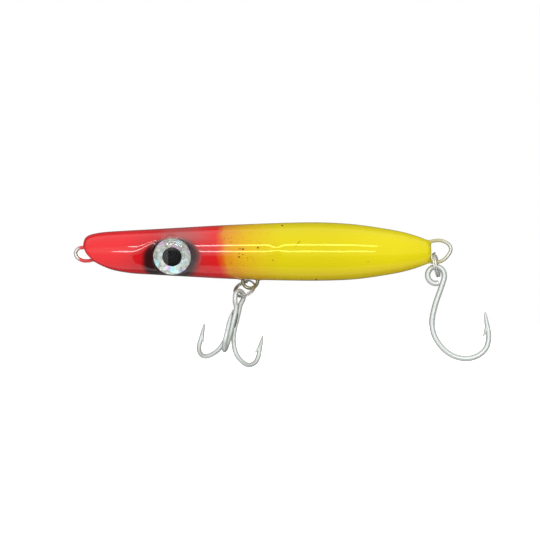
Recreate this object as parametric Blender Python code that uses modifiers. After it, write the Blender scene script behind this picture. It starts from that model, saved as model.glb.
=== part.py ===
"""A slant-nosed topwater stickbait: two wooden halves glued over a bent wire, with foil eyes, lead ballast,
a treble hook on a belly split ring and a single hook on a tail split ring.

+X runs from nose to tail and +Z is up, so -Y is the lure's left side. The world's origin is the centre of the
nose loop, where the line is tied. Places below are in the body's own frame, whose x runs along the body's axis
from the tip of the nose. Every size is in millimetres, and the helpers turn them into Blender's metres.
"""

import math

import bmesh
import bpy
from mathutils import Matrix, Vector

MM = 0.001
GAP = 0.3  # left between pieces that touch on the real lure
AXIS_Z = 1.1  # the body's axis above the line tie
NOSE_X = 0.9  # the tip of the nose behind the line tie

# Turned body: half its thickness at stations along the axis, from the nose to the blunt tail end
BODY_STATIONS = (
    (0.0, 3.2), (0.5, 5.0), (1.5, 6.5), (3.2, 7.4), (5.4, 7.95), (8.4, 8.45), (12.0, 8.75), (20.4, 9.25),
    (29.0, 9.7), (43.0, 10.5), (58.0, 11.35), (68.0, 11.8), (80.0, 12.28), (90.0, 12.58), (98.0, 12.7),
    (105.0, 12.57), (112.0, 12.2), (119.0, 11.53), (127.5, 10.3), (136.0, 8.8), (142.5, 7.02), (147.0, 5.3),
    (149.0, 4.2),
)
BODY_DROP = 0.15  # the turned body's own axis, below the frame's
BODY_LENGTH = BODY_STATIONS[-1][0]
BODY_SIDES = 44
# The slant planed off the underside of the nose
SLANT = (
    (-3.0, 2.9), (0.1, 2.7), (1.1, 0.4), (3.0, -2.1), (5.6, -4.5), (9.4, -6.6), (13.5, -8.2), (20.0, -10.0),
)

# Wires
FRAME_WIRE = 1.5
NOSE_LOOP = ((10.0, 2.2), (3.0, 1.9), (0.0, 1.7), (-1.6, 1.5), (-2.8, 0.5), (-3.2, -0.9), (-2.6, -2.4),
             (-1.1, -3.5), (0.9, -4.0), (3.9, -3.6), (8.0, -1.6), (13.0, -0.2))
TAIL_LOOP = ((137.0, -0.3), (143.0, -2.6), (148.6, -4.3), (151.5, -4.5), (153.9, -3.9), (156.2, -1.9),
             (157.6, 0.8), (156.6, 3.2), (153.8, 4.6), (151.0, 4.7), (147.5, 4.0), (140.0, 2.4))
HANGER_X = 71.6
HANGER_HALF_WIDTH = 3.2
HANGER_ARC_Z = -12.5
HANGER_FOOT = 7.5
HANGER_FOOT_Z = -3.6
HANGER_BEND = 2.0

# Eyes
EYE_X = 38.6
EYE_SEAT_Y = 6.1
EYE_SEAT_Z = -1.9
EYE_TILT = math.radians(12)
EYE_RADIUS = 7.95
EYE_FOIL = 0.8  # thickness
PUPIL_RADIUS = 4.0
PUPIL_THICKNESS = 0.35
PUPIL_GAP = 0.2
DOME_EDGE = 0.7
DOME_HEIGHT = 2.5
SEAT_MARGIN = 0.35  # by which the flat seat is wider than the eye
BOSS_MARGIN = 0.25
BOSS_DEPTH = 3.8
BOSS_TAPER = 1.3

# Lead slugs: name, place along the axis, top, radius and height
BALLAST = (
    ("nose_ballast", 54.0, -2.6, 3.4, 4.6),
    ("belly_ballast", 94.0, -2.6, 3.8, 6.0),
    ("tail_ballast", 126.0, -2.4, 3.0, 4.4),
)

# Split rings: two turns of spring wire, wound side by side
RING_WIRE = 0.75
RING_PITCH = 0.84
RING_STEPS = 40
BELLY_RING_RADIUS = 4.6
BELLY_RING_CENTRE = (69.25, -1.5, -15.9)
BELLY_RING_LEAN = math.radians(26)
BELLY_RING_TURN = math.radians(55)
BELLY_RING_START = math.radians(60)  # where its wire begins
TREBLE_ON_RING = math.radians(224.5)  # where the treble's eye hangs, round the ring
TAIL_RING_RADIUS = 5.05
TAIL_RING_CENTRE = (151.3, 0.0, -5.6)
TAIL_CONTACT = (151.3, 0.0, -4.5)  # where the ring hangs on the tail loop
TAIL_RING_LEAN = math.radians(-79)
TAIL_RING_TURN = math.radians(78)
TAIL_RING_START = math.radians(200)

# Barbs are slim cones, rooted inside the hook's wire
BARB_TIP = 0.05
BARB_ROOT = 0.5

# Treble hook: r is the distance from its axis, and d how far below the centre of the eye's arc
TREBLE_WIRE = 2.0
TREBLE_EYE = 2.2
TREBLE_EYE_TURN = math.radians(41)  # the eye's plane, turned from the front hook's side
TREBLE_BEND = ((1.33, 6.4), (1.35, 14.4), (1.9, 19.4), (4.2, 24.3), (7.8, 27.0), (11.3, 27.5), (13.95, 25.5),
               (14.85, 22.4), (14.7, 19.2), (14.8, 13.6))
TREBLE_BARB = ((14.5, 19.4), (13.1, 21.4))  # from the wire to the barb's tip
TREBLE_BARB_RADIUS = 0.7
TREBLE_LEAN = math.radians(12)
TREBLE_FORWARD = math.radians(20.5)
TREBLE_SPIN = math.radians(-1)
EYE_LEG = ((2.12, 1.2), (1.74, 3.6))  # r and d of each side of the eye, above the shanks
THIRD = math.radians(120)  # from one hook to the next
TREBLE_POINT_STEPS = 5  # of its path, over which each hook runs down to its point
BRAZE_TOP = 7.2
BRAZE_LENGTH = 7.6
BRAZE_RADIUS = 1.65
BRAZE_GAP = 0.12

# Single hook: x and z from the centre of its eye
SINGLE_WIRE = 2.35
SINGLE_EYE = 3.55
SINGLE_PLACE = (151.2, 0.0, -10.1)
SINGLE_BEND = ((3.45, -1.6), (1.8, -6.6), (-0.2, -12.4), (-1.65, -19.0), (-1.3, -23.8), (0.4, -28.0),
               (3.8, -32.2), (8.2, -34.9), (13.3, -35.75), (18.0, -34.5), (21.4, -31.4), (22.6, -27.3),
               (22.4, -23.6), (21.7, -20.1), (21.2, -16.4))
SINGLE_POINT_STEPS = 6
SINGLE_BARB = ((21.9, -23.9), (20.1, -26.7))
SINGLE_BARB_RADIUS = 0.9

COLOURS = {
    "painted_wood": ((0.85, 0.72, 0.03), 0.15, 0.0),
    "frame_wire": ((0.62, 0.60, 0.50), 0.3, 1.0),
    "lead": ((0.25, 0.26, 0.28), 0.6, 1.0),
    "foil": ((0.72, 0.76, 0.80), 0.25, 1.0),
    "pupil": ((0.01, 0.01, 0.012), 0.3, 0.0),
    "resin": ((0.85, 0.88, 0.90), 0.05, 0.0),
    "ring_steel": ((0.55, 0.54, 0.52), 0.25, 1.0),
    "tinned_steel": ((0.75, 0.77, 0.76), 0.32, 1.0),
    "braze": ((0.66, 0.66, 0.62), 0.4, 1.0),
}


# Helpers


def clear_scene():
    for obj in list(bpy.data.objects):
        bpy.data.objects.remove(obj, do_unlink=True)


def new_collection(name):
    made = bpy.data.collections.new(name)
    bpy.context.scene.collection.children.link(made)
    return made


def make_material(name):
    colour, roughness, metallic = COLOURS[name]
    material = bpy.data.materials.get(name) or bpy.data.materials.new(name)
    material.use_nodes = True
    shader = material.node_tree.nodes["Principled BSDF"]
    shader.inputs["Base Color"].default_value = (*colour, 1.0)
    shader.inputs["Roughness"].default_value = roughness
    shader.inputs["Metallic"].default_value = metallic
    return material


def add_object(name, data, material, parent, location=(0, 0, 0), rotation=(0, 0, 0)):
    """A named piece of the lure, placed in its parent's frame."""
    obj = bpy.data.objects.new(name, data)
    PIECES.objects.link(obj)
    if material:
        data.materials.append(make_material(material))
    obj.parent = parent
    obj.location = Vector(location) * MM
    obj.rotation_euler = rotation
    return obj


def add_empty(name, place, parent=None, rotation=(0, 0, 0)):
    """An empty at this place in the body's own frame, below a parent that isn't turned."""
    offset = Vector(place)
    above = parent
    while above is not None and above is not LURE:
        offset -= above.location / MM
        above = above.parent
    return add_object(name, None, None, parent, offset, rotation)


def as_cutter(obj):
    """Moves a helper out of the object and out of sight."""
    PIECES.objects.unlink(obj)
    CUTTERS.objects.link(obj)
    obj.hide_render = True
    obj.display_type = "WIRE"
    return obj


def boolean(obj, other, operation="DIFFERENCE"):
    modifier = obj.modifiers.new(f"{operation.lower()}_{other.name}"[:60], "BOOLEAN")
    modifier.operation = operation
    modifier.object = other
    modifier.solver = "EXACT"


def smooth(points, per_span):
    """A Catmull-Rom curve through the points, with this many steps from each to the next."""
    knots = [Vector(point) for point in points]
    knots = [2 * knots[0] - knots[1], *knots, 2 * knots[-1] - knots[-2]]
    curve = []
    for before, start, end, after in zip(knots, knots[1:], knots[2:], knots[3:]):
        for step in range(per_span):
            t = step / per_span
            curve.append(
                0.5 * (2 * start + (end - before) * t + (2 * before - 5 * start + 4 * end - after) * t**2
                       + (3 * start - before - 3 * end + after) * t**3)
            )
    return [*curve, knots[-2]]


def arc(centre, radius, start, end, steps):
    """Points (x, z) round a centre, from one angle to the other in degrees."""
    angles = [math.radians(start + (end - start) * step / steps) for step in range(steps + 1)]
    return [(centre[0] + radius * math.cos(a), centre[1] + radius * math.sin(a)) for a in angles]


def longer(points, by):
    """The path with both its ends moved on by this much."""
    start = points[0] + (points[0] - points[1]).normalized() * by
    end = points[-1] + (points[-1] - points[-2]).normalized() * by
    return [start, *points[1:-1], end]


def in_plane(points):
    """Points (x, z) in the middle plane."""
    return [Vector((x, 0, z)) for x, z in points]


def wire(name, points, diameter, material, parent, location=(0, 0, 0), rotation=(0, 0, 0), taper=None):
    """A round wire along the points. taper gives the share of its thickness at each point."""
    curve = bpy.data.curves.new(name, "CURVE")
    curve.dimensions = "3D"
    curve.bevel_depth = diameter / 2 * MM
    curve.bevel_resolution = 2
    curve.use_fill_caps = True
    spline = curve.splines.new("POLY")
    spline.points.add(len(points) - 1)
    for index, point in enumerate(points):
        spline.points[index].co = (*(Vector(point) * MM), 1)
        spline.points[index].radius = taper[index] if taper else 1.0
    spline.use_smooth = True
    return add_object(name, curve, material, parent, location, rotation)


def to_mesh(obj):
    """Makes a mesh of a curve object, with its caps welded, so that it can be cut or joined."""
    bpy.context.view_layer.update()
    graph = bpy.context.evaluated_depsgraph_get()
    mesh = bpy.data.meshes.new_from_object(obj.evaluated_get(graph))
    work = bmesh.new()
    work.from_mesh(mesh)
    bmesh.ops.remove_doubles(work, verts=work.verts, dist=1e-7)
    bmesh.ops.recalc_face_normals(work, faces=work.faces)
    work.to_mesh(mesh)
    work.free()
    name, parent, matrix = obj.name, obj.parent, obj.matrix_world.copy()
    bpy.data.objects.remove(obj, do_unlink=True)
    made = add_object(name, mesh, None, parent)
    made.matrix_world = matrix
    return made


def lathe(name, profile, material, parent, steps, location=(0, 0, 0), rotation=(0, 0, 0)):
    """A solid turned round local Z. The profile's points (r, z) run down its outer side, top to bottom."""
    mesh = bpy.data.meshes.new(name)
    mesh.from_pydata(
        [Vector((r, 0, z)) * MM for r, z in profile], [(i, i + 1) for i in range(len(profile) - 1)], []
    )
    obj = add_object(name, mesh, material, parent, location, rotation)
    screw = obj.modifiers.new("turned", "SCREW")
    screw.steps = steps
    screw.render_steps = steps
    screw.use_merge_vertices = True
    screw.merge_threshold = 1e-6
    screw.use_smooth_shade = True
    return obj


def cone(name, radius_low, radius_high, low, high, material, parent, location=(0, 0, 0), rotation=(0, 0, 0),
         sides=36):
    """A cylinder or cone on local Z, from low to high."""
    work = bmesh.new()
    bmesh.ops.create_cone(
        work, cap_ends=True, segments=sides, radius1=radius_low * MM, radius2=radius_high * MM,
        depth=(high - low) * MM, matrix=Matrix.Translation((0, 0, (low + high) / 2 * MM)),
    )
    mesh = bpy.data.meshes.new(name)
    work.to_mesh(mesh)
    work.free()
    return add_object(name, mesh, material, parent, location, rotation)


def box(name, size, centre, parent):
    work = bmesh.new()
    bmesh.ops.create_cube(work, size=1.0, matrix=Matrix.Diagonal((*(Vector(size) * MM), 1)))
    mesh = bpy.data.meshes.new(name)
    work.to_mesh(mesh)
    work.free()
    return add_object(name, mesh, None, parent, centre)


def extruded(name, outline, half_depth, parent):
    """A flat outline (x, z), extruded both ways from the middle plane."""
    curve = bpy.data.curves.new(name, "CURVE")
    curve.dimensions = "2D"
    curve.fill_mode = "BOTH"
    curve.extrude = half_depth * MM
    spline = curve.splines.new("POLY")
    spline.points.add(len(outline) - 1)
    for index, (x, z) in enumerate(outline):
        spline.points[index].co = (x * MM, z * MM, 0, 1)
    spline.use_cyclic_u = True
    return add_object(name, curve, None, parent, rotation=(math.radians(90), 0, 0))


# Wires inside the body


def through_wire_path():
    """Out of the nose and back in as the line tie, along the body, and round the tail loop."""
    return in_plane([*smooth(NOSE_LOOP, 3), *smooth(TAIL_LOOP, 3)])


def belly_hanger_path():
    """A U under the belly, whose legs rise between the halves and end in feet fore and aft."""
    front = HANGER_X - HANGER_HALF_WIDTH
    rear = HANGER_X + HANGER_HALF_WIDTH
    bend_z = HANGER_FOOT_Z - HANGER_BEND
    crown = arc((HANGER_X, HANGER_ARC_Z), HANGER_HALF_WIDTH, 180, 360, 12)
    front_bend = arc((front - HANGER_BEND, bend_z), HANGER_BEND, 90, 0, 4)
    rear_bend = arc((rear + HANGER_BEND, bend_z), HANGER_BEND, 180, 90, 4)
    front_foot = (front - HANGER_FOOT, HANGER_FOOT_Z)
    rear_foot = (rear + HANGER_FOOT, HANGER_FOOT_Z)
    return in_plane([front_foot, *front_bend, *crown, *rear_bend, rear_foot])


def make_frame_wires():
    wire("through_wire", through_wire_path(), FRAME_WIRE, "frame_wire", LURE)
    wire("belly_hanger", belly_hanger_path(), FRAME_WIRE, "frame_wire", LURE)


# Body


def body_profile():
    """The outer side (r, z) from the tail end to the nose, closed on the axis at both ends."""
    side = [(point[1], point[0]) for point in smooth(BODY_STATIONS, 2)]
    return [(0, BODY_LENGTH), *reversed(side), (0, 0)]


def eye_frame(side):
    """An empty on the eye's seat, with local Z pointing out of the body. side is -1 on the left."""
    name = "left_eye_seat" if side < 0 else "right_eye_seat"
    return add_empty(
        name, (EYE_X, side * EYE_SEAT_Y, EYE_SEAT_Z), LURE, (-side * (math.radians(90) + EYE_TILT), 0, 0)
    )


def make_channels():
    """Cutters for what lies between the halves: the wires' grooves and the pockets of the lead."""
    channel = FRAME_WIRE + 2 * GAP
    grooves = [
        wire("through_wire_groove", longer(through_wire_path(), GAP), channel, None, LURE),
        wire("belly_hanger_groove", longer(belly_hanger_path(), GAP), channel, None, LURE),
    ]
    cutters = [as_cutter(to_mesh(groove)) for groove in grooves]
    for name, x, top, radius, height in BALLAST:
        wide = radius + GAP
        pocket = cone(f"{name}_pocket", wide, wide, -height - GAP, GAP, None, LURE, (x, 0, top))
        cutters.append(as_cutter(pocket))
    return cutters


def make_eye_tools(name, seat):
    """A boss that fills the body out to the eye's rim, and a cutter that faces its seat flat."""
    rim = EYE_RADIUS + BOSS_MARGIN
    face = EYE_RADIUS + SEAT_MARGIN
    boss = cone(f"{name}_eye_boss", rim - BOSS_TAPER, rim, -BOSS_DEPTH, 0.5, None, seat)
    spot_face = cone(f"{name}_spot_face", face, face, 0, 12, None, seat, sides=48)
    return boss, spot_face


def make_body():
    """Each half is the whole turned body, less its slant, its far side and what lies between the halves."""
    below = 30.0
    corners = [(SLANT[-1][0], -below), (SLANT[0][0], -below)]
    outline = [*smooth(SLANT, 2), *corners]
    slant = as_cutter(to_mesh(extruded("nose_slant", outline, 20, LURE)))
    channels = make_channels()
    reach = 40
    for side, name in ((-1, "body_left_half"), (1, "body_right_half")):
        half = lathe(name, body_profile(), "painted_wood", LURE, BODY_SIDES, (0, 0, -BODY_DROP),
                     (0, math.radians(90), 0))
        boss, spot_face = make_eye_tools(name, EYE_SEATS[side])
        far_centre = (BODY_LENGTH / 2, -side * (reach - GAP) / 2, 0)
        far_side = box(f"{name}_far_side", (BODY_LENGTH + reach, reach, 2 * below), far_centre, LURE)
        boolean(half, slant)
        boolean(half, as_cutter(boss), "UNION")
        boolean(half, as_cutter(spot_face))
        boolean(half, as_cutter(far_side))
        for cutter in channels:
            boolean(half, cutter)


def make_ballast():
    for name, x, top, radius, height in BALLAST:
        cone(name, radius, radius, -height, 0, "lead", LURE, (x, 0, top), sides=20)


# Eyes


def dome_profile():
    """Top to bottom: the domed face, the rim, and a recess in the back that clears the pupil."""
    rise = DOME_HEIGHT - DOME_EDGE
    sphere = (EYE_RADIUS**2 + rise**2) / (2 * rise)
    spans = 7
    face = []
    for step in range(spans + 1):
        r = EYE_RADIUS * step / spans
        face.append((r, DOME_HEIGHT - sphere + math.sqrt(sphere**2 - r**2)))
    recess = PUPIL_RADIUS + GAP
    depth = 2 * PUPIL_GAP + PUPIL_THICKNESS - GAP
    return [*face, (EYE_RADIUS, 0), (recess, 0), (recess, depth), (0, depth)]


def make_eye(side, name):
    seat = EYE_SEATS[side]
    foil_top = GAP + EYE_FOIL
    cone(f"{name}_foil", EYE_RADIUS, EYE_RADIUS, GAP, foil_top, "foil", seat)
    pupil_low = foil_top + PUPIL_GAP
    cone(f"{name}_pupil", PUPIL_RADIUS, PUPIL_RADIUS, pupil_low, pupil_low + PUPIL_THICKNESS, "pupil", seat,
         sides=24)
    lathe(f"{name}_dome", dome_profile(), "resin", seat, 36, (0, 0, foil_top + GAP))


# Split rings


def split_ring_path(radius):
    """Two turns of wire. The wire steps from the first turn's plane to the second's just before its own start."""
    ramp_start, ramp_end, last = 305, 350, 660
    points = []
    count = round(RING_STEPS * last / 360)
    for step in range(count + 1):
        angle = last * step / count
        share = min(max((angle - ramp_start) / (ramp_end - ramp_start), 0), 1)
        lift = RING_PITCH * (3 * share**2 - 2 * share**3)
        turn = math.radians(angle)
        points.append((radius * math.cos(turn), radius * math.sin(turn), lift - RING_PITCH / 2))
    return points


def ring_axes(lean, turn):
    """Turns a flat ring's X, Y and Z: it stands in the middle plane, turns about its X, and its X then leans."""
    stand = Matrix.Rotation(math.radians(90) - turn, 3, "X")
    return Matrix.Rotation(-lean, 3, "Y") @ stand


def on_ring(centre, radius, axes, angle):
    return Vector(centre) + axes @ Vector((radius * math.cos(angle), radius * math.sin(angle), 0))


def make_ring(name, radius, centre, axes, start, joint, joint_place):
    """A ring on its joint. start is the angle at which its wire begins."""
    rotation = (axes @ Matrix.Rotation(start, 3, "Z")).to_euler()
    wire(name, split_ring_path(radius), RING_WIRE, "ring_steel", joint, Vector(centre) - Vector(joint_place),
         rotation)


# Hooks


def radial(r, d, turn):
    """A point of the treble: this far from its axis and below its eye, in a hook's own plane. turn is 0 for
    the hook in front."""
    return Vector((r * math.sin(turn), -r * math.cos(turn), -d))


def point_taper(count, last):
    """Full thickness, but for the last points, which run down to the hook's point."""
    return [1.0] * (count - last - 1) + [(1 - (step / last) ** 1.6) * 0.95 + 0.05 for step in range(last + 1)]


def barb(name, base, tip, radius, parent, axes):
    """A spur for a hook to be joined with, from base to tip in the hook's own axes."""
    along = Vector(tip) - Vector(base)
    turn = axes @ along.to_track_quat("Z", "Y").to_matrix()
    spur = cone(name, radius, BARB_TIP, -BARB_ROOT, along.length, None, parent, axes @ Vector(base),
                turn.to_euler(), sides=8)
    return as_cutter(spur)


def hook_bend(turn):
    """One hook of the treble, from the top of its shank to its point."""
    return [radial(r, d, turn) for r, d in smooth(TREBLE_BEND, 3)]


def double_hook_path():
    """Up from the front point, round the eye, and down to the right point."""
    across = Vector((math.cos(TREBLE_EYE_TURN), math.sin(TREBLE_EYE_TURN), 0))
    eye = [across * x + Vector((0, 0, z)) for x, z in arc((0, 0), TREBLE_EYE, 180, 0, 10)]
    near_leg = [-across * r - Vector((0, 0, d)) for r, d in EYE_LEG]
    far_leg = [across * r - Vector((0, 0, d)) for r, d in EYE_LEG]
    return [*reversed(hook_bend(0)), *reversed(near_leg), *eye, *far_leg, *hook_bend(THIRD)]


def make_treble():
    """The double hook with its eye, the third hook, and the braze that joins their shanks."""
    axes = (
        Matrix.Rotation(-TREBLE_FORWARD, 3, "X") @ Matrix.Rotation(TREBLE_LEAN, 3, "Y")
        @ Matrix.Rotation(TREBLE_SPIN, 3, "Z")
    )
    rotation = axes.to_euler()

    double_path = double_hook_path()
    one_end = point_taper(len(double_path), TREBLE_POINT_STEPS)
    both_ends = [min(one, other) for one, other in zip(one_end, reversed(one_end))]
    double = to_mesh(wire("treble_double_hook", double_path, TREBLE_WIRE, "tinned_steel", TREBLE_JOINT,
                          rotation=rotation, taper=both_ends))
    third_path = hook_bend(-THIRD)
    third = to_mesh(wire("treble_third_hook", third_path, TREBLE_WIRE, "tinned_steel", TREBLE_JOINT,
                         rotation=rotation, taper=point_taper(len(third_path), TREBLE_POINT_STEPS)))
    for hook, name, where in ((double, "front", 0), (double, "right", THIRD), (third, "left", -THIRD)):
        base, tip = [radial(r, d, where) for r, d in TREBLE_BARB]
        boolean(hook, barb(f"{name}_barb", base, tip, TREBLE_BARB_RADIUS, TREBLE_JOINT, axes), "UNION")

    braze = cone("treble_braze", BRAZE_RADIUS, BRAZE_RADIUS, -BRAZE_TOP - BRAZE_LENGTH, -BRAZE_TOP, "braze",
                 TREBLE_JOINT, rotation=rotation, sides=30)
    for name, where in (("front", 0), ("right", THIRD), ("left", -THIRD)):
        clearance = wire(f"{name}_shank_clearance", hook_bend(where), TREBLE_WIRE + 2 * BRAZE_GAP, None,
                         TREBLE_JOINT, rotation=rotation)
        boolean(braze, as_cutter(to_mesh(clearance)))


def make_single_hook():
    """Round the open eye, down the shank, round the bend and up to the point."""
    eye = arc((0, 0), SINGLE_EYE, 270, 5, 16)
    path = in_plane([*eye, *smooth(SINGLE_BEND, 2)])
    hook = to_mesh(wire("single_hook", path, SINGLE_WIRE, "tinned_steel", SINGLE_JOINT,
                        taper=point_taper(len(path), SINGLE_POINT_STEPS)))
    base, tip = in_plane(SINGLE_BARB)
    boolean(hook, barb("single_barb", base, tip, SINGLE_BARB_RADIUS, SINGLE_JOINT, Matrix.Identity(3)), "UNION")


clear_scene()
PIECES = new_collection("stickbait")
CUTTERS = new_collection("cutters")
LURE = add_object("lure_frame", None, None, None, (NOSE_X, 0, AXIS_Z))
EYE_SEATS = {side: eye_frame(side) for side in (-1, 1)}
HANGER_CROWN = (HANGER_X, 0, HANGER_ARC_Z - HANGER_HALF_WIDTH)
BELLY_RING_JOINT = add_empty("belly_ring_joint", HANGER_CROWN, LURE)
BELLY_RING_AXES = ring_axes(BELLY_RING_LEAN, BELLY_RING_TURN)
TAIL_RING_AXES = ring_axes(TAIL_RING_LEAN, TAIL_RING_TURN)
TREBLE_PLACE = on_ring(BELLY_RING_CENTRE, BELLY_RING_RADIUS, BELLY_RING_AXES, TREBLE_ON_RING)
TREBLE_JOINT = add_empty("treble_joint", TREBLE_PLACE, BELLY_RING_JOINT)
TAIL_RING_JOINT = add_empty("tail_ring_joint", TAIL_CONTACT, LURE)
SINGLE_JOINT = add_empty("single_hook_joint", SINGLE_PLACE, TAIL_RING_JOINT)

make_frame_wires()
make_body()
make_ballast()
make_eye(-1, "left_eye")
make_eye(1, "right_eye")
make_ring("belly_split_ring", BELLY_RING_RADIUS, BELLY_RING_CENTRE, BELLY_RING_AXES, BELLY_RING_START,
          BELLY_RING_JOINT, HANGER_CROWN)
make_treble()
make_ring("tail_split_ring", TAIL_RING_RADIUS, TAIL_RING_CENTRE, TAIL_RING_AXES, TAIL_RING_START,
          TAIL_RING_JOINT, TAIL_CONTACT)
make_single_hook()
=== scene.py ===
"""Looks for the slant-nosed stickbait: one coat of paint over both wooden halves, foil eyes under clear
domes, smooth wires, rings and hooks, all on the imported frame. Places are in millimetres in the body's own
frame, whose x runs along its axis from the tip of the nose. MOVE takes them to the CAD model's frame.
"""

import math

import bmesh
import bpy
import numpy as np
from mathutils import Matrix, Vector


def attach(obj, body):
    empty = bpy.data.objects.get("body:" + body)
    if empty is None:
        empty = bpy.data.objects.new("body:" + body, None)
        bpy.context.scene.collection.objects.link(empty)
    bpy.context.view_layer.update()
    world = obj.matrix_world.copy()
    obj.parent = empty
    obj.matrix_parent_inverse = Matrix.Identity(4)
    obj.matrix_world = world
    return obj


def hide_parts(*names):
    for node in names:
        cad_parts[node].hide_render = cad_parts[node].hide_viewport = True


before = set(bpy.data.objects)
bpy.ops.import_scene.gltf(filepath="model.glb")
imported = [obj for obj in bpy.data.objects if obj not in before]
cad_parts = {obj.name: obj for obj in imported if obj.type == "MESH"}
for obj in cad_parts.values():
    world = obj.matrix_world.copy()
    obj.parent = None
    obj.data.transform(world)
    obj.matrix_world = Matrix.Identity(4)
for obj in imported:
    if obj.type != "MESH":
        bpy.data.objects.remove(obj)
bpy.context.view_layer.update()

MM = 0.001
NOSE_X = 0.9
AXIS_Z = 1.1
MOVE = Vector((NOSE_X, 0.0, AXIS_Z))

# Body
BODY_STATIONS = (  # x, and half the turned body's thickness there
    (0.0, 3.2), (0.5, 5.0), (1.5, 6.5), (3.2, 7.4), (5.4, 7.95), (8.4, 8.45), (12.0, 8.75), (20.4, 9.25),
    (29.0, 9.7), (43.0, 10.5), (58.0, 11.35), (68.0, 11.8), (80.0, 12.28), (90.0, 12.58), (98.0, 12.7),
    (105.0, 12.57), (112.0, 12.2), (119.0, 11.53), (127.5, 10.3), (136.0, 8.8), (142.5, 7.02), (147.0, 5.3),
    (149.0, 4.2),
)
BODY_DROP = 0.15  # the turned body's own axis, below the frame's
BODY_LENGTH = 149.0
SLANT = (  # x and z of the slant that cuts away the nose's underside
    (-3.0, 2.9), (0.1, 2.7), (1.1, 0.4), (3.0, -2.1), (5.6, -4.5), (9.4, -6.6), (13.5, -8.2), (20.0, -10.0),
    (30.0, -13.0),
)
WIRE_EXITS = (  # x, z, and the height of the paint that has crept down the wire there
    (0.5, 1.8, 0.75), (4.5, -3.5, 0.75), (68.1, -11.6, 0.4), (75.1, -12.0, 0.4), (149.0, -4.3, 0.75),
    (149.0, 4.4, 0.75),
)
MENISCUS_SPREAD = 1.0  # of that paint, round the wire
GRID_STEP = 0.1  # of the evened-out outlines
NOSE_CORE_X = 8.0  # where the rays to the nose start
TAIL_CORE_X = 144.0
DISH_DEPTH = 1.45  # of the flat that runs from the nose to the eye's rim, above the eye's seat
DISH_SLOPE = 0.27
DRIP = (82.8, -12.3, 0.5)  # of clear coat that ran down and set under the belly
DRIP_HEIGHT = 0.28
DRIP_SPREAD = 1.5
DROPS = (  # of red paint on the left side: x, z and radius
    (61.0, 5.3, 0.22), (62.7, 5.2, 0.22), (63.7, 5.6, 0.2), (63.9, 3.8, 0.22), (67.5, 1.1, 0.34),
    (68.7, 0.8, 0.5), (75.0, 1.5, 0.45), (75.8, 3.1, 0.22), (67.1, -0.9, 0.26), (67.1, -2.4, 0.42),
    (68.7, -1.5, 0.26), (70.7, -2.8, 0.22), (63.7, -5.0, 0.24), (81.3, -3.8, 0.26), (85.3, 11.0, 0.4),
    (99.8, -12.0, 0.4), (90.9, 2.1, 0.17), (91.3, 2.6, 0.18), (91.7, 3.1, 0.2), (92.1, 3.7, 0.22),
    (92.5, 4.1, 0.22), (68.9, -5.9, 0.16), (58.5, 1.9, 0.15), (59.9, -1.5, 0.16), (64.3, -7.9, 0.16),
    (71.9, 4.3, 0.15), (65.4, 2.6, 0.14), (60.8, -5.7, 0.14),
)

# Eyes
EYE_CENTRE = (38.6, 6.1, -1.9)
EYE_TILT = math.radians(12)
EYE_RADIUS = 7.95
COLLAR_WALL = 0.3  # of the paint round the eye
COLLAR_TOP = 1.3  # this and the heights below are measured outwards from EYE_CENTRE
COLLAR_ROOT = 6.0  # inwards from it
POCKET_FLOOR = 0.9
FOIL_LOW = 0.98
FOIL_TOP = 1.12
PUPIL_RADIUS = 4.0
PUPIL_TOP = 1.24
DOME_TOP = 3.6
DOME_FALL = 0.95  # of its middle, by the rim
DOME_SHOULDER = 0.6  # further down, close to the rim
DOME_SAG = 0.06  # slope of the resin's top, thicker towards the back

# Wires
FRAME_WIRE = 1.5
NOSE_LOOP = ((13.0, 2.2), (3.0, 1.9), (0.0, 1.7), (-1.6, 1.5), (-2.8, 0.5), (-3.2, -0.9), (-2.6, -2.4),
             (-1.1, -3.5), (0.9, -4.0), (3.9, -3.6), (8.0, -1.6), (13.0, -0.2))
TAIL_LOOP = ((137.0, -0.3), (143.0, -2.6), (148.6, -4.3), (151.5, -4.5), (153.9, -3.9), (156.2, -1.9),
             (157.6, 0.8), (156.6, 3.2), (153.8, 4.6), (151.0, 4.7), (147.5, 4.0), (140.0, 2.4))
HANGER_X = 71.6
HANGER_HALF_WIDTH = 3.2
HANGER_ARC_Z = -12.5
HANGER_TOP_Z = -6.0

# Split rings
RING_WIRE = 0.75
RING_PITCH = 0.84
BELLY_RING = dict(radius=4.6, centre=(69.25, -1.5, -15.9), lean=26.0, turn=55.0, start=60.0)
TAIL_RING = dict(radius=5.05, centre=(151.3, 0.0, -5.6), lean=-79.0, turn=78.0, start=200.0)
TREBLE_ON_RING = math.radians(224.5)

# Treble hook: r is the distance from its axis, and d how far below the centre of the eye's arc
TREBLE_WIRE = 2.0
TREBLE_EYE = 2.2
TREBLE_EYE_TURN = math.radians(41)
TREBLE_BEND = ((1.33, 6.4), (1.35, 14.4), (1.9, 19.4), (4.2, 24.3), (7.8, 27.0), (11.3, 27.5), (13.95, 25.5),
               (14.85, 22.4), (14.7, 19.2), (14.8, 13.1))
TREBLE_BARB = ((14.5, 17.6), (14.0, 19.4), (12.75, 21.6))
TREBLE_AXES = (
    Matrix.Rotation(math.radians(-20.5), 3, "X") @ Matrix.Rotation(math.radians(12), 3, "Y")
    @ Matrix.Rotation(math.radians(-1), 3, "Z")
)
EYE_LEG = ((2.08, 1.2), (1.42, 3.5))
THIRD = math.radians(120)
BRAZE_TOP = 7.0
BRAZE_LENGTH = 8.0
TREBLE_TAPER = 5.8  # of the wire towards each point
BARB_SHARE = 0.36  # a barb's thickness at its root, as a share of the wire's

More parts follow.
